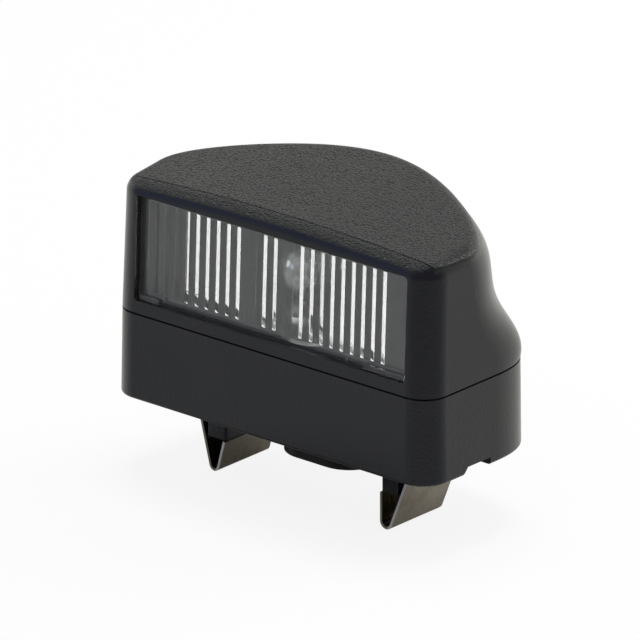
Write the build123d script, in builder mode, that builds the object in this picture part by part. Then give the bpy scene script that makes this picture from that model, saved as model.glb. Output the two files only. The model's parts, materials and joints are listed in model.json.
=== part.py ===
"""Number plate lamp: a hooded lamp with a fluted window that clips into a panel.

Millimetres. The origin is the middle of the base's seating rim, with +X along the
lamp's width, +Y away from the window and +Z up, out of the panel.
"""
import os
from math import cos, radians, sin, sqrt, tan

from build123d import *

os.makedirs("parts", exist_ok=True)

# Base housing
base_width = 85.0
base_depth = 40.0
base_height = 18.45
base_corner = 6.0
base_edge = 0.6
base_draft = 1.0
base_wall = 2.6
floor_recess = 2.0
floor_thickness = 2.0
notch_length = 8.5
notch_middle = -4.5
notch_depth = 1.6
notch_ramp = 1.5
notch_reach = 4.0

# Joint between the base and the hood
seal_thickness = 0.4
seal_setback = 0.5
collar_height = 1.6
collar_wall = 1.2
collar_root = 3.0
collar_gap = 0.3

# Rear of the outline, at the seam and at the roof: where each side stops being straight,
# how far its curve first runs on along the side, and how far from the middle it flattens
rear_start = (2.0, -8.9)
rear_lead = (17.3, 9.1)
rear_spread = (30.0, 20.9)

# Hood: its shoulders give, at each rise above the seam, how much of the roof's outline is in the mix
hood_wall = 1.6
roof_wall = 1.5
hood_front_height = 28.65
hood_front_lean = 2.3
hood_side_lean = 1.0
hood_rear_lean = 0.5
hood_inner_corner = 3.0
hood_edge_radius = 3.0
roof_slope = 6.7
roof_crown_radius = 556.0
shoulders = (
    (0.0, 0.0),
    (3.5, 0.01),
    (7.0, 0.17),
    (11.0, 0.4),
    (17.0, 0.59),
    (26.0, 0.76),
    (37.0, 1.1),
)

# Window, lens and its seal: the flutes are counted in pitches, and their middle lies to the left
window_margin = 6.5
window_width = base_width - 2 * window_margin
window_height = 22.5
window_sill = 2.65
window_corner = 0.8
lens_thickness = 1.2
lens_overlap = 0.6
lens_gap = 0.15
lens_seal_thickness = 0.3
lens_rebate = 0.3
lens_foot_height = 1.1
lens_foot_depth = 0.5
lens_foot_start = 10.0
flutes_across = 26.4
flute_shift = -1.02
flute_slope = 24.0
flute_valley = 0.05
flute_starts = (-11.59, -1.0, 2.59)
flute_counts = (9, 2, 9)
flute_bottom_gap = 1.7
flute_top_gap = 1.2

# Screws that hold the hood down from below
screw_x = base_width / 2 - window_margin
screw_y = -8.0
screw_radius = 1.45
screw_head_radius = 2.7
screw_head_height = 2.0
screw_head_edge = 0.8
screw_cross_length = 3.0
screw_cross_width = 0.7
screw_cross_depth = 1.1
screw_length = 20.0
screw_seat = 8.0
screw_gap = 0.03
screw_tip_gap = 1.0
screw_hole_radius = 1.7
screw_head_gap = 0.3
screw_boss_radius = 4.4
pillar_radius = 2.6

# Spring clips and the posts inside them, by side: a post's two faces are given from the clip's bend
clip_sheet = 0.55
clip_width = 15.8
clip_front = -9.8
clip_bend_inset = 19.5
clip_bend_x = base_width / 2 - clip_bend_inset
clip_drop_left = 15.4
clip_drop_right = 16.2
clip_drop = {"left": clip_drop_left, "right": clip_drop_right}
clip_bend_left = 1.08
clip_bend_right = 1.35
clip_bend = {"left": clip_bend_left, "right": clip_bend_right}
clip_root_bend = 1.2
clip_inner_end = 8.45
clip_tang_top = 8.4
clip_lean_out = {"left": 14.6, "right": 21.6}
clip_lean_in = {"left": 15.0, "right": 0.0}
clip_knee = 1.0
pocket_wall = 1.6
pocket_gap = 0.05
post_left = (-3.2, 1.9)
post_right = (-1.3, 2.9)
posts = {"left": post_left, "right": post_right}
post_front = -9.75
post_depth = 8.0
post_drop = 8.1
post_corner = 0.5

# Connector socket under the floor, and its two blade terminals
socket_y = 0.9
socket_length = 22.4
socket_width = 14.2
socket_wall = 1.5
socket_drop = 8.7
blade_x = 4.4
blade_width = 6.3
blade_thickness = 0.8
blade_edge = 0.2
blade_drop = 6.5
tang_width = 3.0
tang_gap = 0.05
live_tang_y = -0.7
earth_tang_y = 3.2

# Bulb holder, round the bulb's axis
bulb_y = -3.25
shell_radius = 7.7
shell_sheet = 0.5
shell_height = 15.0
shell_flange_radius = 9.3
ear_radius = 2.2
ear_reach = 11.2
ear_angle = 20.0
pin_slot_gap = 0.3
insulator_thickness = 1.2
insulator_gap = 0.1
leaf_sheet = 0.4
leaf_width = 4.0
leaf_start = -6.2
leaf_turn_x = 4.6
leaf_end = -2.5
leaf_rise = 2.0
rivet_radius = 1.0
rivet_head_radius = 1.8
rivet_head_height = 0.6

# Bulb
cap_radius = 7.5
cap_sheet = 0.4
cap_length = 15.9
cap_lip = 1.6
pin_radius = 0.95
pin_rise = 6.5
pin_reach = 1.2
pip_radius = 2.4
pip_height = 1.0
pip_edge = 0.6
plug_height = 2.0
globe_radius = 9.0
globe_rise = 24.6
neck_radius = 6.9
neck_rise = 7.4
neck_blend = 2.5
neck_search = 1.0
glass_wall = 0.8
stem_flare_height = 1.5
stem_cone_height = 3.0
stem_radius = 2.0
stem_rise = 17.4
stem_gap = 0.1
wire_radius = 0.3
lead_spread = 1.1
filament_half = 4.2
filament_rise = 25.4
filament_lift = 2.5

# Levels and outlines that several pieces share
SIDES = {"left": -1, "right": 1}
floor_top = floor_recess + floor_thickness
seam = base_height + seal_thickness
draft_in = base_height * tan(radians(base_draft))
seam_half = base_width / 2 - draft_in
seam_reach = base_depth / 2 - draft_in
seam_corner = base_corner - draft_in
screw_places = [(side * screw_x, screw_y) for side in SIDES.values()]
insulator_top = floor_top + insulator_thickness
bulb_seat = insulator_top + leaf_sheet + leaf_rise
cap_bottom = bulb_seat + pip_height
cap_top = cap_bottom + cap_length
pin_level = cap_bottom + pin_rise
ear_places = [
    (side * ear_reach * cos(radians(ear_angle)), bulb_y - ear_reach * sin(radians(ear_angle)))
    for side in SIDES.values()
]


def mix(ends, share):
    """The value at a share of the way from the seam's to the roof's."""
    return ends[0] + share * (ends[1] - ends[0])


def outline(level, half, front, rear, corner, inset, share=0.0):
    """A level face with a straight front, rounded corners, straight sides and a curved rear."""
    side_end = mix(rear_start, share)
    lead = mix(rear_lead, share) * (rear - inset - side_end) / (rear - side_end)
    spread = mix(rear_spread, share) * (half - inset) / half
    half, front, rear = half - inset, front + inset, rear - inset
    with BuildSketch(Plane.XY.offset(level)) as shape:
        with BuildLine():
            Polyline((-half, side_end), (-half, front), (half, front), (half, side_end))
            Bezier((half, side_end), (half, side_end + lead), (spread, rear), (0, rear))
            Bezier((0, rear), (-spread, rear), (-half, side_end + lead), (-half, side_end))
        make_face()
        fillet(shape.vertices().group_by(Axis.Y)[0], corner)
    return shape.sketch


def base_outline(level, inset):
    """The outline of the base's seating rim, moved in all round."""
    reach = base_depth / 2
    return outline(level, base_width / 2, -reach, reach, base_corner - inset, inset)


def seam_outline(level, inset):
    """The outline at the seam, moved in all round."""
    return outline(level, seam_half, -seam_reach, seam_reach, seam_corner - inset, inset)


def clip_path(side):
    """Points of a clip's bent strip, outwards from the middle: root, leg ends and bend."""
    lean_out, lean_in = radians(clip_lean_out[side]), radians(clip_lean_in[side])
    bend = clip_bend[side]
    bend_z = -clip_drop[side] + clip_sheet / 2 + bend
    outer_x = clip_bend_x + bend * cos(lean_out)
    outer_z = bend_z - bend * sin(lean_out)
    inner_x = clip_bend_x - bend * cos(lean_in)
    inner_z = bend_z - bend * sin(lean_in)
    root_x = outer_x + (clip_knee - outer_z) * tan(lean_out)
    end_x = inner_x - (-clip_inner_end - inner_z) * tan(lean_in)
    return {
        "top": (root_x, clip_tang_top),
        "knee": (root_x, clip_knee),
        "outer": (outer_x, outer_z),
        "low": (clip_bend_x, bend_z - bend),
        "inner": (inner_x, inner_z),
        "end": (end_x, -clip_inner_end),
    }


clip_paths = {side: clip_path(side) for side in SIDES}


# Hood
def hood_section(rise, share, inset, front_corner):
    """The hood's outline at a rise above the seam."""
    half = seam_half - rise * tan(radians(hood_side_lean))
    front = -seam_reach + rise * tan(radians(hood_front_lean))
    rear = seam_reach - rise * tan(radians(hood_rear_lean))
    return outline(seam + rise, half, front, rear, front_corner, inset, share)


def hood_form(inset, roof_drop, front_corner):
    """The hood as a solid, moved in by a wall: lofted sides under a crowned, sloping roof."""
    reach = base_width / 2
    front_y = -seam_reach + hood_front_height * tan(radians(hood_front_lean))
    sag = roof_crown_radius - sqrt(roof_crown_radius**2 - reach**2)
    above = shoulders[-1][0]
    roof_front = (0, front_y, seam + hood_front_height - roof_drop)
    tilt = radians(roof_slope)
    with BuildPart() as form:
        loft([hood_section(rise, share, inset, front_corner) for rise, share in shoulders])
        with BuildSketch(Plane(roof_front, x_dir=(1, 0, 0), z_dir=(0, -cos(tilt), -sin(tilt)))):
            with BuildLine():
                Polyline((reach, -sag), (reach, above), (-reach, above), (-reach, -sag))
                ThreePointArc((-reach, -sag), (0, 0), (reach, -sag))
            make_face()
        extrude(amount=2 * base_depth, both=True, mode=Mode.SUBTRACT)
    return form.part


hood_outside = hood_form(0, 0, seam_corner)
hood_inside = hood_form(hood_wall, roof_wall, hood_inner_corner)

# The window leans with the hood's front: its planes lie square to that lean
lean = radians(hood_front_lean)
front_normal = (0, -cos(lean), sin(lean))
hood_front = Plane(origin=(0, -seam_reach, seam), x_dir=(1, 0, 0), z_dir=front_normal)
hood_front_wall = hood_wall * cos(lean)
window_middle = window_sill + window_height / 2
lens_width = window_width + 2 * lens_overlap
lens_height = window_height + 2 * lens_overlap
seal_face = hood_front.offset(lens_rebate - hood_front_wall)
lens_face = seal_face.offset(-lens_seal_thickness)

with BuildPart() as hood_cover:
    add(hood_outside)
    roof = hood_cover.faces().sort_by(Axis.Z)[-1]
    fillet(roof.edges(), hood_edge_radius)
    add(hood_inside, mode=Mode.SUBTRACT)
    with BuildSketch(hood_front):
        with Locations((0, window_middle)):
            RectangleRounded(window_width, window_height, window_corner)
    extrude(amount=2 * hood_wall, both=True, mode=Mode.SUBTRACT)
    with BuildSketch(seal_face):
        with Locations((0, window_middle)):
            Rectangle(lens_width + 2 * lens_gap, lens_height + 2 * lens_gap)
    extrude(amount=-2 * lens_rebate, mode=Mode.SUBTRACT)
    with BuildSketch(Plane.XY.offset(seam)):
        with Locations(*screw_places):
            Circle(pillar_radius)
    extrude(amount=hood_front_height - roof_wall / 2)
    with BuildSketch(Plane.XY.offset(seam)):
        with Locations(*screw_places):
            Circle(screw_radius + screw_gap)
    extrude(amount=screw_seat + screw_length + screw_tip_gap - seam, mode=Mode.SUBTRACT)
hood_cover.part.label = "hood_cover"

# Lens seal and lens, in a shallow rebate inside the hood's front wall
with BuildPart() as lens_seal:
    with BuildSketch(lens_face):
        with Locations((0, window_middle)):
            Rectangle(lens_width, lens_height)
            Rectangle(window_width, window_height, mode=Mode.SUBTRACT)
    extrude(amount=lens_seal_thickness)
lens_seal.part.label = "lens_seal"

flute_pitch = window_width / flutes_across
flute_height = flute_valley + flute_pitch / 2 * tan(radians(flute_slope))
flute_middle = flute_shift * flute_pitch
flute_bottom = window_sill + flute_bottom_gap
flute_top = window_sill + window_height - flute_top_gap
flute_root = -lens_thickness / 2
lens_back = lens_face.offset(-lens_thickness)
lens_foot = Plane(lens_back.from_local_coords((0, flute_bottom, 0)), lens_back.x_dir, lens_back.y_dir)
lens_reach = window_width / 2 - window_corner

with BuildPart() as lens:
    # Groups of V-shaped flutes on the back, cut to a slope at both ends
    for first, count in zip(flute_starts, flute_counts):
        start = flute_middle + first * flute_pitch
        zigzag = [(start, flute_root), (start, flute_valley)]
        for place in range(count):
            tip = start + (place + 0.5) * flute_pitch
            zigzag += [(tip, flute_height), (tip + flute_pitch / 2, flute_valley)]
        zigzag.append((zigzag[-1][0], flute_root))
        with BuildSketch(lens_foot):
            with BuildLine():
                Polyline(*zigzag, close=True)
            make_face()
        extrude(amount=flute_top - flute_bottom)
    with BuildSketch(Plane(lens_back.origin, lens_back.y_dir, lens_back.x_dir)):
        with BuildLine():
            Polyline(
                (flute_bottom, flute_root),
                (flute_bottom, 0),
                (flute_bottom + flute_height, flute_height),
                (flute_top - flute_height, flute_height),
                (flute_top, 0),
                (flute_top, flute_root),
                close=True,
            )
        make_face()
    extrude(amount=window_width / 2, both=True, mode=Mode.INTERSECT)
    with BuildSketch(lens_back):
        with Locations((0, window_middle)):
            Rectangle(lens_width, lens_height)
    extrude(amount=lens_thickness)
    # Feet on the front, out to the window's lower corners
    with BuildSketch(lens_face):
        for sign in SIDES.values():
            foot_start = flute_middle + sign * lens_foot_start * flute_pitch
            foot_length = lens_reach - sign * foot_start
            foot_place = (sign * (lens_reach - foot_length / 2), window_sill + lens_gap)
            with Locations(foot_place):
                Rectangle(foot_length, lens_foot_height, align=(Align.CENTER, Align.MIN))
    extrude(amount=lens_seal_thickness + lens_foot_depth)
lens.part.label = "lens"


# Base housing: a tray with a recessed floor, a locating collar, bosses, pockets, posts and a socket
pocket_length = clip_width + 2 * (pocket_wall + pocket_gap)
clip_middle = clip_front + clip_width / 2
terminals = {"terminal_live": (-blade_x, live_tang_y), "terminal_earth": (blade_x, earth_tang_y)}

with BuildPart() as base_housing:
    loft([base_outline(0, 0), seam_outline(base_height, 0)], ruled=True)
    fillet(base_housing.edges().group_by(Axis.Z)[0], base_edge)
    extrude(base_outline(floor_top, base_wall), amount=base_height, mode=Mode.SUBTRACT)
    extrude(base_outline(0, base_wall), amount=floor_recess, mode=Mode.SUBTRACT)
    # Collar that locates the hood
    collar_foot = base_height - collar_root
    collar_reach = collar_root + collar_height
    collar_inset = hood_wall + collar_gap
    extrude(seam_outline(collar_foot, collar_inset), amount=collar_reach)
    collar_hole = seam_outline(collar_foot, collar_inset + collar_wall)
    extrude(collar_hole, amount=collar_reach, mode=Mode.SUBTRACT)
    # Screw bosses, pockets for the clips' tangs and posts inside the clips
    with BuildSketch(Plane.XY.offset(floor_recess)):
        with Locations(*screw_places):
            Circle(screw_boss_radius)
    extrude(amount=base_height - floor_recess)
    with BuildSketch(Plane.XY.offset(floor_recess)):
        for side, sign in SIDES.items():
            with Locations((sign * clip_paths[side]["top"][0], clip_middle)):
                Rectangle(2 * pocket_wall + clip_sheet, pocket_length)
    extrude(amount=clip_tang_top + pocket_wall - floor_recess)
    with BuildSketch(Plane.XY.offset(floor_recess)):
        for side, sign in SIDES.items():
            inner, outer = posts[side]
            middle = sign * (clip_bend_x + (inner + outer) / 2)
            with Locations((middle, post_front + post_depth / 2)):
                RectangleRounded(outer - inner, post_depth, post_corner)
    extrude(amount=-post_drop - floor_recess)
    # Socket wall round the terminals
    with BuildSketch(Plane.XY.offset(floor_recess)):
        with Locations((0, socket_y)):
            SlotOverall(socket_length, socket_width)
            offset(amount=-socket_wall, mode=Mode.SUBTRACT)
    extrude(amount=-socket_drop - floor_recess)
    # Slots for the tangs, and holes for rivets and screws
    with BuildSketch(Plane.XY.offset(floor_recess)):
        for side, sign in SIDES.items():
            with Locations((sign * clip_paths[side]["top"][0], clip_middle)):
                Rectangle(clip_sheet + 2 * pocket_gap, clip_width + 2 * pocket_gap)
    extrude(amount=clip_tang_top + pocket_gap - floor_recess, mode=Mode.SUBTRACT)
    with BuildSketch(Plane.XY.offset(floor_recess)):
        for place in terminals.values():
            with Locations(place):
                Rectangle(blade_thickness + 2 * tang_gap, tang_width + 2 * tang_gap)
        with Locations(*ear_places):
            Circle(rivet_radius)
    extrude(amount=floor_thickness, mode=Mode.SUBTRACT)
    with Locations(*[Location((x, y, floor_recess), (180, 0, 0)) for x, y in screw_places]):
        CounterBoreHole(
            screw_hole_radius,
            screw_head_radius + screw_head_gap,
            screw_seat - floor_recess,
            depth=base_height,
        )
    # Drain notches in the side walls
    for sign in SIDES.values():
        with BuildSketch(Plane.YZ.offset(sign * (base_width / 2 - notch_reach))):
            with BuildLine():
                Polyline(
                    (notch_middle - notch_length / 2, 0),
                    (notch_middle - notch_length / 2 + notch_ramp, notch_depth),
                    (notch_middle + notch_length / 2, notch_depth),
                    (notch_middle + notch_length / 2, 0),
                    close=True,
                )
            make_face()
        extrude(amount=sign * notch_reach, mode=Mode.SUBTRACT)
base_housing.part.label = "base_housing"

with BuildPart() as hood_seal:
    extrude(seam_outline(base_height, seal_setback), amount=seal_thickness)
    extrude(seam_outline(base_height, hood_wall), amount=seal_thickness, mode=Mode.SUBTRACT)
hood_seal.part.label = "hood_seal"

with BuildPart() as hood_screws:
    with BuildSketch(Plane.XY.offset(screw_seat)):
        with Locations(*screw_places):
            Circle(screw_radius)
    extrude(amount=screw_length)
    with BuildSketch(Plane.XY.offset(screw_seat)):
        with Locations(*screw_places):
            Circle(screw_head_radius)
    extrude(amount=-screw_head_height)
    chamfer(hood_screws.edges().group_by(Axis.Z)[0], screw_head_edge)
    with BuildSketch(Plane.XY.offset(screw_seat - screw_head_height)):
        with Locations(*screw_places):
            Rectangle(screw_cross_length, screw_cross_width)
            Rectangle(screw_cross_width, screw_cross_length)
    extrude(amount=screw_cross_depth, mode=Mode.SUBTRACT)
hood_screws.part.label = "hood_screws"

# Spring clips
spring_clips = {}
for side, sign in SIDES.items():
    path = {name: (sign * x, z) for name, (x, z) in clip_paths[side].items()}
    with BuildPart() as spring_clip:
        with BuildSketch(Plane.XZ.offset(-clip_front)):
            with BuildLine() as strip:
                FilletPolyline(path["top"], path["knee"], path["outer"], radius=clip_root_bend)
                ThreePointArc(path["outer"], path["low"], path["inner"])
                Line(path["inner"], path["end"])
            trace(line_width=clip_sheet)
        extrude(amount=-clip_width)
    spring_clip.part.label = f"spring_clip_{side}"
    spring_clips[side] = spring_clip

# Blade terminals
blades = {}
for name, (x, tang_y) in terminals.items():
    tang_top = insulator_top if name == "terminal_live" else floor_top
    with BuildPart() as blade:
        with BuildSketch(Plane.XY.offset(floor_recess)):
            with Locations((x, socket_y)):
                Rectangle(blade_thickness, blade_width)
        extrude(amount=-blade_drop - floor_recess)
        chamfer(blade.edges().group_by(Axis.Z)[0].filter_by(Axis.Y), blade_edge)
        with BuildSketch(Plane.XY.offset(floor_recess)):
            with Locations((x, tang_y)):
                Rectangle(blade_thickness, tang_width)
        extrude(amount=tang_top - floor_recess)
    blade.part.label = name
    blades[name] = blade

# Bulb holder
shell_outer = shell_radius + shell_sheet
bulb_place = (0, bulb_y)
bulb_middle = Plane.XZ.offset(-bulb_y)
bulb_axis = Axis((0, bulb_y, 0), (0, 0, 1))
with BuildPart() as holder_shell:
    with BuildSketch(Plane.XY.offset(floor_top)):
        with Locations(bulb_place):
            Circle(shell_flange_radius)
        with Locations(*ear_places):
            Circle(ear_radius)
        make_hull()
        with Locations(bulb_place):
            Circle(shell_radius, mode=Mode.SUBTRACT)
        with Locations(*ear_places):
            Circle(rivet_radius, mode=Mode.SUBTRACT)
    extrude(amount=shell_sheet)
    with BuildSketch(Plane.XY.offset(floor_top)):
        with Locations(bulb_place):
            Circle(shell_outer)
            Circle(shell_radius, mode=Mode.SUBTRACT)
    extrude(amount=shell_height)
    slot = pin_radius + pin_slot_gap
    for sign in SIDES.values():
        with BuildSketch(Plane.YZ):
            with Locations((bulb_y, pin_level)):
                Circle(slot)
                Rectangle(2 * slot, shell_height, align=(Align.CENTER, Align.MIN))
        extrude(amount=sign * 2 * shell_outer, mode=Mode.SUBTRACT)
holder_shell.part.label = "holder_shell"

with BuildPart() as holder_rivets:
    heads = ((floor_recess, -rivet_head_height), (floor_top + shell_sheet, rivet_head_height))
    for level, height in heads:
        with BuildSketch(Plane.XY.offset(level)):
            with Locations(*ear_places):
                Circle(rivet_head_radius)
        extrude(amount=height)
    with BuildSketch(Plane.XY.offset(floor_recess)):
        with Locations(*ear_places):
            Circle(rivet_radius)
    extrude(amount=floor_thickness + shell_sheet)
    chamfer(holder_rivets.edges().group_by(Axis.Z)[-1], rivet_head_height / 2)
holder_rivets.part.label = "holder_rivets"

with BuildPart() as holder_insulator:
    with BuildSketch(Plane.XY.offset(floor_top)):
        with Locations(bulb_place):
            Circle(shell_radius - insulator_gap)
        with Locations(terminals["terminal_live"]):
            Rectangle(blade_thickness + 2 * tang_gap, tang_width + 2 * tang_gap, mode=Mode.SUBTRACT)
    extrude(amount=insulator_thickness)
holder_insulator.part.label = "holder_insulator"

leaf_low = insulator_top + leaf_sheet / 2
with BuildPart() as centre_contact:
    with BuildSketch(bulb_middle.offset(leaf_width / 2)):
        with BuildLine():
            Line((leaf_start, leaf_low), (leaf_turn_x, leaf_low))
            ThreePointArc(
                (leaf_turn_x, leaf_low),
                (leaf_turn_x + leaf_rise / 2, leaf_low + leaf_rise / 2),
                (leaf_turn_x, leaf_low + leaf_rise),
            )
            Line((leaf_turn_x, leaf_low + leaf_rise), (leaf_end, leaf_low + leaf_rise))
        trace(line_width=leaf_sheet)
    extrude(amount=-leaf_width)
centre_contact.part.label = "centre_contact"

# Bulb
globe_z = cap_bottom + globe_rise
neck_z = cap_bottom + neck_rise


def glass_profile(radius, neck):
    """Points of a bulb outline: foot of the neck, top of the neck, side of the globe and its top."""
    meet = globe_z - sqrt(radius**2 - neck**2)
    return (neck, neck_z), (neck, meet), (radius, globe_z), (0, globe_z + radius)


with BuildPart() as bulb_glass:
    with BuildSketch(bulb_middle):
        with BuildLine():
            foot, meet, side_point, top = glass_profile(globe_radius, neck_radius)
            Line(foot, meet)
            ThreePointArc(meet, side_point, top)
            inner = glass_profile(globe_radius - glass_wall, neck_radius - glass_wall)
            inner_foot, inner_meet, inner_side, inner_top = inner
            Line(top, inner_top)
            ThreePointArc(inner_top, inner_side, inner_meet)
            Polyline(inner_meet, inner_foot, foot)
        make_face()
    revolve(axis=bulb_axis)
    necks = bulb_glass.edges().filter_by(GeomType.CIRCLE)
    necks = necks.filter_by_position(Axis.Z, meet[1] - neck_search, meet[1] + neck_search)
    fillet(necks, neck_blend)
bulb_glass.part.label = "bulb_glass"

stem_outer = neck_radius - glass_wall - stem_gap
with BuildPart() as bulb_stem:
    with BuildSketch(bulb_middle):
        with BuildLine():
            Polyline(
                (0, neck_z),
                (stem_outer, neck_z),
                (stem_outer, neck_z + stem_flare_height),
                (stem_radius, neck_z + stem_flare_height + stem_cone_height),
                (stem_radius, cap_bottom + stem_rise),
                (0, cap_bottom + stem_rise),
                close=True,
            )
        make_face()
    revolve(axis=bulb_axis)
bulb_stem.part.label = "bulb_stem"

filament_z = cap_bottom + filament_rise
with BuildPart() as bulb_filament:
    with BuildLine(bulb_middle) as wire:
        Polyline(
            (-lead_spread, cap_bottom + stem_rise),
            (-lead_spread, cap_bottom + stem_rise + filament_lift),
            (-filament_half, filament_z - filament_lift),
            (-filament_half, filament_z),
            (filament_half, filament_z),
            (filament_half, filament_z - filament_lift),
            (lead_spread, cap_bottom + stem_rise + filament_lift),
            (lead_spread, cap_bottom + stem_rise),
        )
    with BuildSketch(Plane.XY.offset(cap_bottom + stem_rise)):
        with Locations((-lead_spread, bulb_y)):
            Circle(wire_radius)
    sweep(path=wire.wires()[0], transition=Transition.RIGHT)
bulb_filament.part.label = "bulb_filament"

with BuildPart() as bulb_cap:
    with BuildSketch(bulb_middle):
        with BuildLine():
            Polyline(
                (cap_radius - cap_sheet, cap_bottom + cap_sheet),
                (cap_radius, cap_bottom + 2 * cap_sheet),
                (cap_radius, cap_top - cap_lip),
                (neck_radius + cap_sheet + stem_gap, cap_top),
                (neck_radius + stem_gap, cap_top),
                (cap_radius - cap_sheet, cap_top - cap_lip),
                close=True,
            )
        make_face()
    revolve(axis=bulb_axis)
    for sign in SIDES.values():
        with BuildSketch(Plane.YZ.offset(sign * (cap_radius - cap_sheet / 2))):
            with Locations((bulb_y, pin_level)):
                Circle(pin_radius)
        extrude(amount=sign * pin_reach)
bulb_cap.part.label = "bulb_cap"

with BuildPart() as bulb_plug:
    with BuildSketch(bulb_middle):
        with BuildLine():
            Polyline(
                (0, cap_bottom),
                (pip_radius + cap_sheet, cap_bottom),
                (cap_radius - cap_sheet, cap_bottom + cap_sheet),
                (cap_radius - cap_sheet, cap_bottom + plug_height),
                (0, cap_bottom + plug_height),
                close=True,
            )
        make_face()
    revolve(axis=bulb_axis)
bulb_plug.part.label = "bulb_plug"

with BuildPart() as bulb_contact:
    with BuildSketch(Plane.XY.offset(cap_bottom)):
        with Locations(bulb_place):
            Circle(pip_radius)
    extrude(amount=-pip_height)
    chamfer(bulb_contact.edges().group_by(Axis.Z)[0], pip_edge)
bulb_contact.part.label = "bulb_contact"

pieces = [
    base_housing,
    hood_seal,
    hood_cover,
    hood_screws,
    lens_seal,
    lens,
    *spring_clips.values(),
    *blades.values(),
    holder_shell,
    holder_rivets,
    holder_insulator,
    centre_contact,
    bulb_glass,
    bulb_stem,
    bulb_filament,
    bulb_cap,
    bulb_plug,
    bulb_contact,
]
for piece in pieces:
    export_step(piece.part, f"parts/{piece.part.label}.step")
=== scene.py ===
"""Looks for the number plate lamp: grained black mouldings, a clear fluted window, sprung
steel clips and a bayonet bulb, on a pale floor under soft studio light."""
import json
import math

import bpy
from mathutils import Matrix, Vector


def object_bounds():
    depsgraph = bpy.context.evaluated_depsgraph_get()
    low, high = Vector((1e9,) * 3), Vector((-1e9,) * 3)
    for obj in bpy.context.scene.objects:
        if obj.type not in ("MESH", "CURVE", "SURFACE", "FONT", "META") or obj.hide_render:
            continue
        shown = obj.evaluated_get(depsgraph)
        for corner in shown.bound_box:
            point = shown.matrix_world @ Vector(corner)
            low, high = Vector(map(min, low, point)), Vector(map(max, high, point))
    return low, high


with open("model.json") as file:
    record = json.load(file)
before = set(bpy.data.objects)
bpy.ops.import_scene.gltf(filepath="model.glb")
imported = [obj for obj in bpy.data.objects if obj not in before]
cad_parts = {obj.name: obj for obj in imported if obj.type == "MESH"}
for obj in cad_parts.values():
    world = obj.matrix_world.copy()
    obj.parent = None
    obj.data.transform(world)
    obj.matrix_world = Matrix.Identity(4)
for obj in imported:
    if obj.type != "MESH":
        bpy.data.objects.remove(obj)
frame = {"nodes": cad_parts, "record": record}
cad_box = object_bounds()
nodes = frame["nodes"]
bpy.ops.object.select_all(action="DESELECT")
scene = bpy.context.scene
scene.view_settings.view_transform = "Standard"
# Light turns several times inside the fluted lens before it leaves
LENS_TURNS = 10
scene.cycles.glossy_bounces = LENS_TURNS

MM = 0.001
WHITE = (1, 1, 1, 1)


# Shader nodes
def add(tree, kind, settings=(), **inputs):
    """A shader node with its settings and the values of its named inputs."""
    made = tree.nodes.new(kind)
    for name, value in dict(settings).items():
        setattr(made, name, value)
    for name, value in inputs.items():
        made.inputs[name.replace("_", " ")].default_value = value
    return made


def worked(tree, kind, first, second):
    """The result of a Math node on two values, each a socket or a number."""
    made = add(tree, "ShaderNodeMath", {"operation": kind})
    for slot, value in enumerate((first, second)):
        if isinstance(value, (int, float)):
            made.inputs[slot].default_value = value
        else:
            tree.links.new(value, made.inputs[slot])
    return made.outputs[0]


def product(tree, first, *others):
    """Values multiplied one after another."""
    for value in others:
        first = worked(tree, "MULTIPLY", first, value)
    return first


def total(tree, first, *others):
    """Values added one after another."""
    for value in others:
        first = worked(tree, "ADD", first, value)
    return first


def less(tree, first, *others):
    """A value with others taken off it."""
    for value in others:
        first = worked(tree, "SUBTRACT", first, value)
    return first


def unsigned(tree, value):
    """A value without its sign."""
    return worked(tree, "ABSOLUTE", value, 0.0)


def ranged(tree, value, low, high, to_low=0.0, to_high=1.0, smooth=False):
    """A value carried from one range to another, held at its ends."""
    made = tree.nodes.new("ShaderNodeMapRange")
    made.interpolation_type = "SMOOTHSTEP" if smooth else "LINEAR"
    limits = {"From Min": low, "From Max": high, "To Min": to_low, "To Max": to_high}
    for name, number in limits.items():
        made.inputs[name].default_value = number
    tree.links.new(value, made.inputs["Value"])
    return made.outputs["Result"]


def tinted(tree, share, first, second):
    """A colour mixed from two by a share. Each is a socket or three numbers."""
    made = add(tree, "ShaderNodeMix", {"data_type": "RGBA"})
    for slot, colour in (("A", first), ("B", second)):
        socket = next(s for s in made.inputs if s.name == slot and s.type == "RGBA")
        if isinstance(colour, tuple):
            socket.default_value = (*colour, 1)
        else:
            tree.links.new(colour, socket)
    tree.links.new(share, made.inputs["Factor"])
    return next(s for s in made.outputs if s.type == "RGBA")


def layered(tree, share, under, over):
    """Two shaders mixed by a share."""
    mixed = tree.nodes.new("ShaderNodeMixShader")
    tree.links.new(share, mixed.inputs["Fac"])
    tree.links.new(under, mixed.inputs[1])
    tree.links.new(over, mixed.inputs[2])
    return mixed.outputs[0]


def split(tree, vector):
    """The three numbers of a vector."""
    made = tree.nodes.new("ShaderNodeSeparateXYZ")
    tree.links.new(vector, made.inputs[0])
    return made.outputs


def object_place(tree):
    """Places in the lamp's own frame."""
    return tree.nodes.new("ShaderNodeTexCoord").outputs["Object"]


def face_turn(tree):
    """The three numbers of the way a face looks."""
    return split(tree, tree.nodes.new("ShaderNodeNewGeometry").outputs["Normal"])


# Effects that several finishes share
def new_group(name, inputs, outputs):
    """A shader node group with float inputs and outputs."""
    group = bpy.data.node_groups.new(name, "ShaderNodeTree")
    for label, value in inputs.items():
        socket = group.interface.new_socket(label, in_out="INPUT", socket_type="NodeSocketFloat")
        socket.default_value = value
    for label in outputs:
        group.interface.new_socket(label, in_out="OUTPUT", socket_type="NodeSocketFloat")
    return group, group.nodes.new("NodeGroupInput"), group.nodes.new("NodeGroupOutput")


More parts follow.
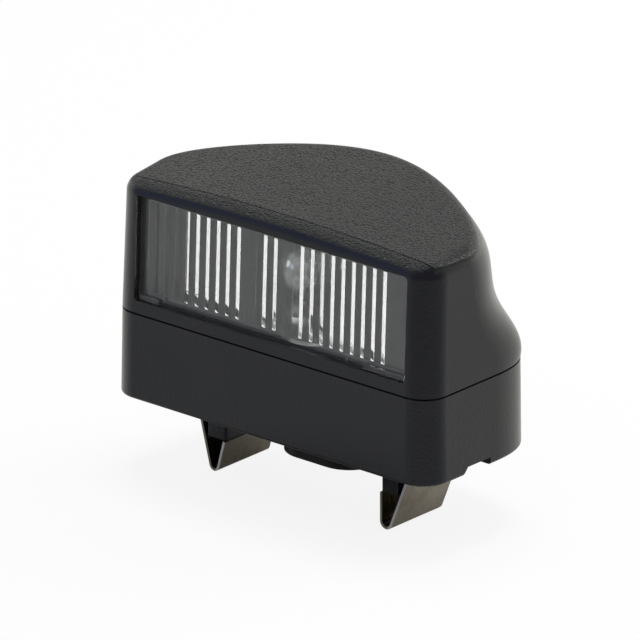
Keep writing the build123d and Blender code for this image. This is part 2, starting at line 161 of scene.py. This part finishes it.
def make_leather_grain():
    """Fine moulded leather grain: soft round pebbles between narrow creases."""
    group, given, result = new_group(
        "leather_grain", {"Pebbles": 1500.0, "Wander": 0.35}, ("Height", "Crease"))
    place = object_place(group)
    wander = add(group, "ShaderNodeTexNoise", Scale=900.0, Detail=2.0)
    group.links.new(place, wander.inputs["Vector"])
    shift = add(group, "ShaderNodeVectorMath", {"operation": "MULTIPLY_ADD"})
    group.links.new(wander.outputs["Color"], shift.inputs[0])
    reach = worked(group, "DIVIDE", given.outputs["Wander"], given.outputs["Pebbles"])
    group.links.new(reach, shift.inputs[1])
    group.links.new(place, shift.inputs[2])
    cells = add(group, "ShaderNodeTexVoronoi", {"feature": "SMOOTH_F1"}, Smoothness=0.35)
    group.links.new(shift.outputs[0], cells.inputs["Vector"])
    group.links.new(given.outputs["Pebbles"], cells.inputs["Scale"])
    height = ranged(group, cells.outputs["Distance"], 0.1, 0.75, 1.0, 0.0, True)
    crease = ranged(group, cells.outputs["Distance"], 0.5, 0.8, smooth=True)
    group.links.new(height, result.inputs["Height"])
    group.links.new(crease, result.inputs["Crease"])
    return group


def make_handling():
    """Broad soft patches and fine specks that years of handling leave on a surface."""
    group, given, result = new_group(
        "handling", {"Patches": 45.0, "Specks": 700.0}, ("Patch", "Speck"))
    place = object_place(group)
    marks = (("Patch", "Patches", 4.0, 0.35, 0.68), ("Speck", "Specks", 1.0, 0.66, 0.74))
    for label, scale, detail, low, high in marks:
        noise = add(group, "ShaderNodeTexNoise", Detail=detail, Roughness=0.55)
        group.links.new(place, noise.inputs["Vector"])
        group.links.new(given.outputs[scale], noise.inputs["Scale"])
        mark = ranged(group, noise.outputs["Fac"], low, high, smooth=True)
        group.links.new(mark, result.inputs[label])
    return group


def make_rolled():
    """Fine lines that rolling leaves along a strip, close together across it."""
    group, given, result = new_group(
        "rolled_lines", {"Across": 9000.0, "Along": 160.0}, ("Line", "Stain"))
    place = object_place(group)
    pull = add(group, "ShaderNodeCombineXYZ")
    for axis, scale in (("X", "Along"), ("Y", "Across"), ("Z", "Along")):
        group.links.new(given.outputs[scale], pull.inputs[axis])
    spread = add(group, "ShaderNodeVectorMath", {"operation": "MULTIPLY"})
    group.links.new(place, spread.inputs[0])
    group.links.new(pull.outputs[0], spread.inputs[1])
    lines = add(group, "ShaderNodeTexNoise", Scale=1.0, Detail=3.0, Roughness=0.6)
    group.links.new(spread.outputs[0], lines.inputs["Vector"])
    stain = add(group, "ShaderNodeTexNoise", Scale=170.0, Detail=3.0)
    group.links.new(place, stain.inputs["Vector"])
    line = ranged(group, lines.outputs["Fac"], 0.3, 0.7)
    blot = ranged(group, stain.outputs["Fac"], 0.4, 0.7, smooth=True)
    group.links.new(line, result.inputs["Line"])
    group.links.new(blot, result.inputs["Stain"])
    return group


leather_grain = make_leather_grain()
handling = make_handling()
rolled_lines = make_rolled()


# Finishes
def new_finish(name, **inputs):
    """A material with one Principled shader, and the values of its plain inputs."""
    finish = bpy.data.materials.new(name)
    finish.use_nodes = True
    shader = finish.node_tree.nodes["Principled BSDF"]
    for label, value in inputs.items():
        shader.inputs[label.replace("_", " ")].default_value = value
    return finish, finish.node_tree, shader


def use(tree, group, **inputs):
    """A placed node group with its own values."""
    made = tree.nodes.new("ShaderNodeGroup")
    made.node_tree = group
    for label, value in inputs.items():
        made.inputs[label].default_value = value
    return made.outputs


def bump(tree, shader, height, distance, strength):
    """Feeds a height to a shader's normal."""
    made = add(tree, "ShaderNodeBump", Distance=distance, Strength=strength)
    tree.links.new(height, made.inputs["Height"])
    tree.links.new(made.outputs["Normal"], shader.inputs["Normal"])


def colour_and_gloss(tree, shader, colour, rough):
    """Feeds a shader's colour and roughness."""
    tree.links.new(colour, shader.inputs["Base Color"])
    tree.links.new(rough, shader.inputs["Roughness"])


# Grain cells in a metre, and the grain's depth
ROOF_PEBBLES, WALL_PEBBLES = 2300.0, 1700.0
GRAIN_DEPTH = 0.34 * MM
# Heights between which the roof's grain begins
ROOF_FROM = (45.0 * MM, 46.0 * MM)
# Limits of the glossy edge inside the window
WINDOW_FRONT = (-17.0 * MM, -16.0 * MM)
WINDOW_HALF = (36.2 * MM, 36.8 * MM)
# The grained roof ends in a small step and a soft fall before its front rounding:
# where they lie, and their drops in grain depths
STEP_AT, STEP_DROP = (-15.75 * MM, -15.1 * MM), 2.4
FALL_AT, FALL_DROP = (-17.2 * MM, -15.6 * MM), 1.3


def black_moulding(name, roof_depth, wall_depth):
    """Black moulded plastic: leather grain on the roof, a fainter one on the walls, and gloss
    inside the window's edge."""
    finish, tree, shader = new_finish(name, IOR=1.5)
    spot = split(tree, object_place(tree))
    faces = face_turn(tree)
    marks = use(tree, handling)
    coarse = use(tree, leather_grain, Pebbles=ROOF_PEBBLES)
    fine = use(tree, leather_grain, Pebbles=WALL_PEBBLES)
    high = ranged(tree, spot["Z"], *ROOF_FROM)
    level = product(tree, ranged(tree, faces["Z"], 0.45, 0.98), high)

    turned = ranged(tree, unsigned(tree, faces["Y"]), 0.3, 0.6, 1.0, 0.0)
    in_front = ranged(tree, spot["Y"], *WINDOW_FRONT, 1.0, 0.0)
    middle = ranged(tree, unsigned(tree, spot["X"]), *WINDOW_HALF, 1.0, 0.0)
    reveal = product(tree, turned, in_front, middle, less(tree, 1.0, high))
    plain = less(tree, 1.0, level, reveal)

    roof_height = product(tree, coarse["Height"], level, roof_depth)
    wall_height = product(tree, fine["Height"], plain, wall_depth)
    step = ranged(tree, spot["Y"], *STEP_AT, 0.0, STEP_DROP, True)
    fall = ranged(tree, spot["Y"], *FALL_AT, 0.0, FALL_DROP)
    lip = product(tree, total(tree, step, fall), high)
    bump(tree, shader, total(tree, roof_height, wall_height, lip), GRAIN_DEPTH, 1.0)

    shade = total(tree, product(tree, marks["Patch"], 0.5), product(tree, coarse["Crease"], 0.2))
    colour = tinted(tree, shade, (0.0075, 0.0075, 0.0078), (0.0115, 0.0115, 0.0113))
    worn = ranged(tree, marks["Patch"], 0.0, 1.0, 0.22, 0.27)
    creased = product(tree, coarse["Crease"], level, 0.4)
    rough = total(tree, worn, product(tree, level, 0.12), creased)
    rough = less(tree, rough, product(tree, reveal, 0.14))
    colour_and_gloss(tree, shader, colour, rough)
    return finish


def clear_glass(name, ior, through, colour, patches, smooth, rough):
    """Clear lens plastic or blown glass, with a faint haze of handling."""
    finish, tree, shader = new_finish(name, IOR=ior)
    shader.inputs["Transmission Weight"].default_value = through
    shader.inputs["Base Color"].default_value = (*colour, 1)
    marks = use(tree, handling, Patches=patches)
    haze = ranged(tree, marks["Patch"], 0.0, 1.0, smooth, rough)
    tree.links.new(haze, shader.inputs["Roughness"])
    return finish


def mottled(name, dark, light, smooth, rough, patches, specks, patch_share):
    """A dull material with soft patches and lighter specks."""
    finish, tree, shader = new_finish(name)
    marks = use(tree, handling, Patches=patches, Specks=specks)
    shade = worked(tree, "MAXIMUM", product(tree, marks["Patch"], patch_share), marks["Speck"])
    colour = tinted(tree, shade, dark, light)
    gloss = ranged(tree, marks["Patch"], 0.0, 1.0, smooth, rough)
    colour_and_gloss(tree, shader, colour, gloss)
    return finish


def black_glass():
    """Black glass of the cap's foot, with faint swirls."""
    finish, tree, shader = new_finish("cap_glass", IOR=1.52)
    marks = use(tree, handling, Patches=300.0)
    colour = tinted(tree, marks["Patch"], (0.012, 0.012, 0.016), (0.035, 0.03, 0.045))
    gloss = ranged(tree, marks["Patch"], 0.0, 1.0, 0.08, 0.2)
    colour_and_gloss(tree, shader, colour, gloss)
    return finish


ROLLED_DEPTH, ROLLED_STRENGTH = 0.004 * MM, 0.5


def rolled_shade(tree, lines):
    """Rolled lines and stains, half each."""
    return total(tree, product(tree, lines["Line"], 0.5), product(tree, lines["Stain"], 0.5))


def metal(name, dark, light, smooth, rough, across, depth=ROLLED_DEPTH):
    """Metal with rolled lines, faint stains and a roughness that follows them."""
    finish, tree, shader = new_finish(name, Metallic=1.0)
    lines = use(tree, rolled_lines, Across=across)
    shade = rolled_shade(tree, lines)
    colour = tinted(tree, shade, light, dark)
    colour_and_gloss(tree, shader, colour, ranged(tree, shade, 0.0, 1.0, smooth, rough))
    bump(tree, shader, lines["Line"], depth, ROLLED_STRENGTH)
    return finish


# The clips' right arms, whose sheared edges carry a painted highlight: the left clip's lies between
# two places across the lamp, and the right clip's beyond a third
LEFT_CLIP_ARM = (-22.6 * MM, 0.0)
RIGHT_CLIP_ARM = 23.4 * MM
# Across the lamp, the painted shade on the left clip thins out between these places
LEFT_SHADE_TO = (-8.0 * MM, 8.0 * MM)


def clip_strip():
    """Rolled spring strip: warm grey outside, with painted shade inside the bend and on the left
    clip, and a painted highlight on the sheared edges of the right arms."""
    finish, tree, shader = new_finish("spring_steel", Metallic=1.0)
    lines = use(tree, rolled_lines)
    faces = face_turn(tree)
    across = split(tree, object_place(tree))["X"]
    arm_start, arm_end = (worked(tree, "GREATER_THAN", across, place) for place in LEFT_CLIP_ARM)
    far_arm = worked(tree, "GREATER_THAN", across, RIGHT_CLIP_ARM)
    right_arm = total(tree, less(tree, arm_start, arm_end), far_arm)
    # Painted highlight: faces turned to the front and back, the sheared edges, are lightened to near
    # white on the right arms and only faintly on the left arms.
    edge = product(tree, ranged(tree, unsigned(tree, faces["Y"]), 0.8, 0.95),
                   ranged(tree, right_arm, 0.0, 1.0, 0.06, 1.0))
    # Painted shade: faces turned upwards, inside the bend, are darkened nearly to black.
    inside = ranged(tree, faces["Z"], 0.0, 0.1, 0.0, 0.75)
    # Painted shade: the left clip is darkened, fading out across the middle of the lamp.
    painted_left_shade = ranged(tree, across, *LEFT_SHADE_TO, 0.42, 0.0)

    shade = rolled_shade(tree, lines)
    colour = tinted(tree, shade, (0.53, 0.48, 0.385), (0.33, 0.29, 0.22))
    colour = tinted(tree, painted_left_shade, colour, (0.1, 0.09, 0.075))
    colour = tinted(tree, inside, colour, (0.03, 0.026, 0.02))
    colour = tinted(tree, edge, colour, (0.86, 0.83, 0.78))
    rough = total(tree, ranged(tree, shade, 0.0, 1.0, 0.2, 0.38), product(tree, edge, 0.35))
    colour_and_gloss(tree, shader, colour, rough)
    bump(tree, shader, lines["Line"], ROLLED_DEPTH, ROLLED_STRENGTH)
    return finish


finishes = {
    "hood": black_moulding("black_hood", 1.0, 0.035),
    "base": black_moulding("black_base", 0.5, 0.055),
    "clear_lens": clear_glass("clear_lens", 1.49, 0.97, (0.97, 0.98, 0.975), 90.0, 0.015, 0.045),
    "bulb_glass": clear_glass("bulb_glass", 1.7, 1.0, (0.985, 0.99, 0.99), 150.0, 0.0, 0.03),
    "gasket": mottled("gasket", (0.006, 0.006, 0.006), (0.016, 0.016, 0.0155),
                      0.72, 0.85, 120.0, 2500.0, 0.5),
    "spring_steel": clip_strip(),
    "plated_steel": metal("plated_steel", (0.52, 0.52, 0.5), (0.72, 0.72, 0.7), 0.12, 0.3, 5000.0),
    "brass_strip": metal("brass_strip", (0.62, 0.45, 0.2), (0.83, 0.67, 0.36), 0.18, 0.36, 6000.0),
    "insulating_board": mottled("insulating_board", (0.24, 0.13, 0.06), (0.4, 0.24, 0.12),
                                0.5, 0.7, 400.0, 2600.0, 0.7),
    "tungsten": metal("tungsten", (0.24, 0.24, 0.25), (0.42, 0.42, 0.43), 0.3, 0.5, 20000.0),
    "cap_glass": black_glass(),
    "solder": metal("solder", (0.5, 0.5, 0.5), (0.75, 0.75, 0.74), 0.25, 0.45, 2500.0, 0.02 * MM),
}


def dress(node, finish):
    """Gives a CAD node its finish."""
    nodes[node].data.materials.clear()
    nodes[node].data.materials.append(finishes[finish])


for subpart in frame["record"]["subparts"]:
    slot = subpart["material_slot"]
    dress(subpart["node"], slot if slot in finishes else "base")
dress("hood_cover", "hood")


# Floor, light and camera
FLOOR_SIZE = 6.0
# How much of the floor's look is plain white, to the eye and through glass
SEEN_WHITE, THROUGH_WHITE = 0.87, 0.95
# Mirrored rays find the floor dim close in front of the lamp, and gone away from it
DIM_FROM = (-0.03, -0.012)
GONE_FROM = (0.04, 0.065)


def lay_floor():
    """A pale floor that stays near white in view, keeps a soft shadow and is clear from below.
    Mirrored rays see it only near the lamp."""
    low = cad_box[0][2]
    bpy.ops.mesh.primitive_plane_add(size=FLOOR_SIZE, location=(0, 0, low))
    floor = bpy.context.object
    floor.name = "floor"
    bpy.ops.object.transform_apply()
    finish, tree, shader = new_finish("pale_floor", Roughness=0.9)
    shader.inputs["Base Color"].default_value = (0.86, 0.86, 0.86, 1)
    shader.inputs["Specular IOR Level"].default_value = 0.0
    path = tree.nodes.new("ShaderNodeLightPath").outputs
    white = add(tree, "ShaderNodeEmission", Color=WHITE, Strength=1.0).outputs[0]
    seen = product(tree, path["Is Camera Ray"], SEEN_WHITE)
    through = product(tree, path["Is Transmission Ray"], THROUGH_WHITE)
    bright = worked(tree, "MAXIMUM", seen, through)
    look = layered(tree, bright, shader.outputs["BSDF"], white)

    place = object_place(tree)
    ahead = ranged(tree, split(tree, place)["Y"], *DIM_FROM, 1.0, 0.0, True)
    dim = add(tree, "ShaderNodeEmission", Color=(0.05, 0.055, 0.065, 1), Strength=1.0).outputs[0]
    look = layered(tree, product(tree, path["Is Glossy Ray"], ahead), look, dim)

    away = add(tree, "ShaderNodeVectorMath", {"operation": "LENGTH"})
    tree.links.new(place, away.inputs[0])
    far = ranged(tree, away.outputs["Value"], *GONE_FROM, smooth=True)
    clear = tree.nodes.new("ShaderNodeBsdfTransparent").outputs[0]
    look = layered(tree, product(tree, path["Is Glossy Ray"], far), look, clear)

    below = tree.nodes.new("ShaderNodeNewGeometry").outputs["Backfacing"]
    look = layered(tree, below, look, clear)
    tree.links.new(look, tree.nodes["Material Output"].inputs["Surface"])
    floor.data.materials.append(finish)


def towards(tree, view, aim):
    """How near a direction comes to an aim, up to 1."""
    made = add(tree, "ShaderNodeVectorMath", {"operation": "DOT_PRODUCT"})
    tree.links.new(view, made.inputs[0])
    made.inputs[1].default_value = aim
    return made.outputs["Value"]


EVEN_LIGHT = 0.55
# The room in reflections: its bright back, its dim front, a bluish window and a dark panel above
FRONT_AIM, FRONT_SPREAD = (0.652, -0.758, 0.0), (-0.5, 0.6)
WINDOW_AIM, WINDOW_SPREAD = (-0.6, -0.75, 0.28), (0.9, 0.98)
BACK_COLOUR, FRONT_COLOUR = (0.98, 1.0, 0.94), (0.11, 0.115, 0.2)
WINDOW_COLOUR, PANEL_COLOUR = (0.22, 0.3, 0.58), (0.03, 0.03, 0.03)


def light_room():
    """White surroundings for the eye, an even grey light, and in reflections a room that dims
    towards the front, where its floor is lighter than its wall."""
    world = bpy.data.worlds.new("white_room")
    scene.world = world
    world.use_nodes = True
    tree = world.node_tree
    path = tree.nodes.new("ShaderNodeLightPath").outputs
    view = tree.nodes.new("ShaderNodeTexCoord").outputs["Generated"]
    along = split(tree, view)
    front = ranged(tree, towards(tree, view, FRONT_AIM), *FRONT_SPREAD)
    front = worked(tree, "MINIMUM", front, ranged(tree, along["Z"], -0.36, -0.2, 0.6, 1.0))
    room = tinted(tree, front, BACK_COLOUR, FRONT_COLOUR)
    window = ranged(tree, towards(tree, view, WINDOW_AIM), *WINDOW_SPREAD, smooth=True)
    room = tinted(tree, window, room, WINDOW_COLOUR)
    panel = product(tree, ranged(tree, along["X"], -0.05, -0.2), ranged(tree, along["Y"], 0.08, 0.25),
                    ranged(tree, along["Z"], 0.52, 0.64))
    room = tinted(tree, panel, room, PANEL_COLOUR)

    mirrored = tree.nodes["Background"]
    tree.links.new(room, mirrored.inputs["Color"])
    tree.links.new(ranged(tree, along["Z"], -0.1, 0.45, 1.0, 0.93), mirrored.inputs["Strength"])
    even = add(tree, "ShaderNodeBackground", Color=WHITE, Strength=EVEN_LIGHT).outputs[0]
    white = add(tree, "ShaderNodeBackground", Color=WHITE, Strength=1.0).outputs[0]
    rest = layered(tree, path["Is Glossy Ray"], even, mirrored.outputs[0])
    seen = worked(tree, "MAXIMUM", path["Is Camera Ray"], path["Is Transmission Ray"])
    surroundings = layered(tree, seen, rest, white)
    tree.links.new(surroundings, tree.nodes["World Output"].inputs["Surface"])


def place_lamp(name, place, aim, size, power):
    """A soft rectangular lamp aimed at a point of the object."""
    lamp = bpy.data.lights.new(name, "AREA")
    lamp.shape = "RECTANGLE"
    lamp.size, lamp.size_y = size
    lamp.energy = power
    holder = bpy.data.objects.new(name, lamp)
    scene.collection.objects.link(holder)
    holder.location = place
    holder.rotation_euler = (Vector(aim) - Vector(place)).to_track_quat("-Z", "Y").to_euler()
    return holder


def light_bulb_glass():
    """A small bluish lamp that lights only the bulb's glass and the lens before it, for the
    bulb's highlight."""
    holder = place_lamp("bulb_lamp", (-0.67, -0.61, 0.1), (0, 0, 0.03), (0.2, 0.2), 0.75)
    holder.data.color = (0.82, 0.9, 1.0)
    lit_glass = bpy.data.collections.new("lit_glass")
    for node in ("bulb_glass", "lens"):
        lit_glass.objects.link(nodes[node])
    holder.light_linking.receiver_collection = lit_glass


# The photograph's camera: its turn and rise in degrees, its place to the right, up and back in
# millimetres, and its focal length in pixels of a square picture
CAMERA_TURN, CAMERA_RISE = 40.69, 21.08
CAMERA_PLACE = (-2.286, 19.077, 2902.3)
FOCAL_PIXELS, PICTURE_PIXELS = 14296, 640
SENSOR_WIDTH = 36.0


def place_camera():
    """The photograph's camera: a long lens, from the front right and a little above."""
    turn, rise = math.radians(CAMERA_TURN), math.radians(CAMERA_RISE)
    back = Vector((math.sin(turn) * math.cos(rise), -math.cos(turn) * math.cos(rise), math.sin(rise)))
    right = Vector((math.cos(turn), math.sin(turn), 0))
    up = back.cross(right)
    to_right, to_top, to_back = CAMERA_PLACE
    spot = (right * to_right + up * to_top + back * to_back) * MM
    lens = bpy.data.cameras.new("camera")
    lens.sensor_width = SENSOR_WIDTH
    lens.lens = FOCAL_PIXELS / PICTURE_PIXELS * SENSOR_WIDTH
    lens.clip_end = 20.0
    holder = bpy.data.objects.new("camera", lens)
    scene.collection.objects.link(holder)
    turned = Matrix((right, up, back)).transposed().to_4x4()
    holder.matrix_world = Matrix.Translation(spot) @ turned
    scene.camera = holder


lay_floor()
light_room()
place_lamp("key_lamp", (-0.05, 0.15, 1.0), (0, 0, 0.02), (0.45, 0.3), 5.0)
place_lamp("rear_lamp", (0.4, 0.72, 0.62), (0, 0, 0.02), (0.6, 0.6), 2.5)
light_bulb_glass()
place_camera()
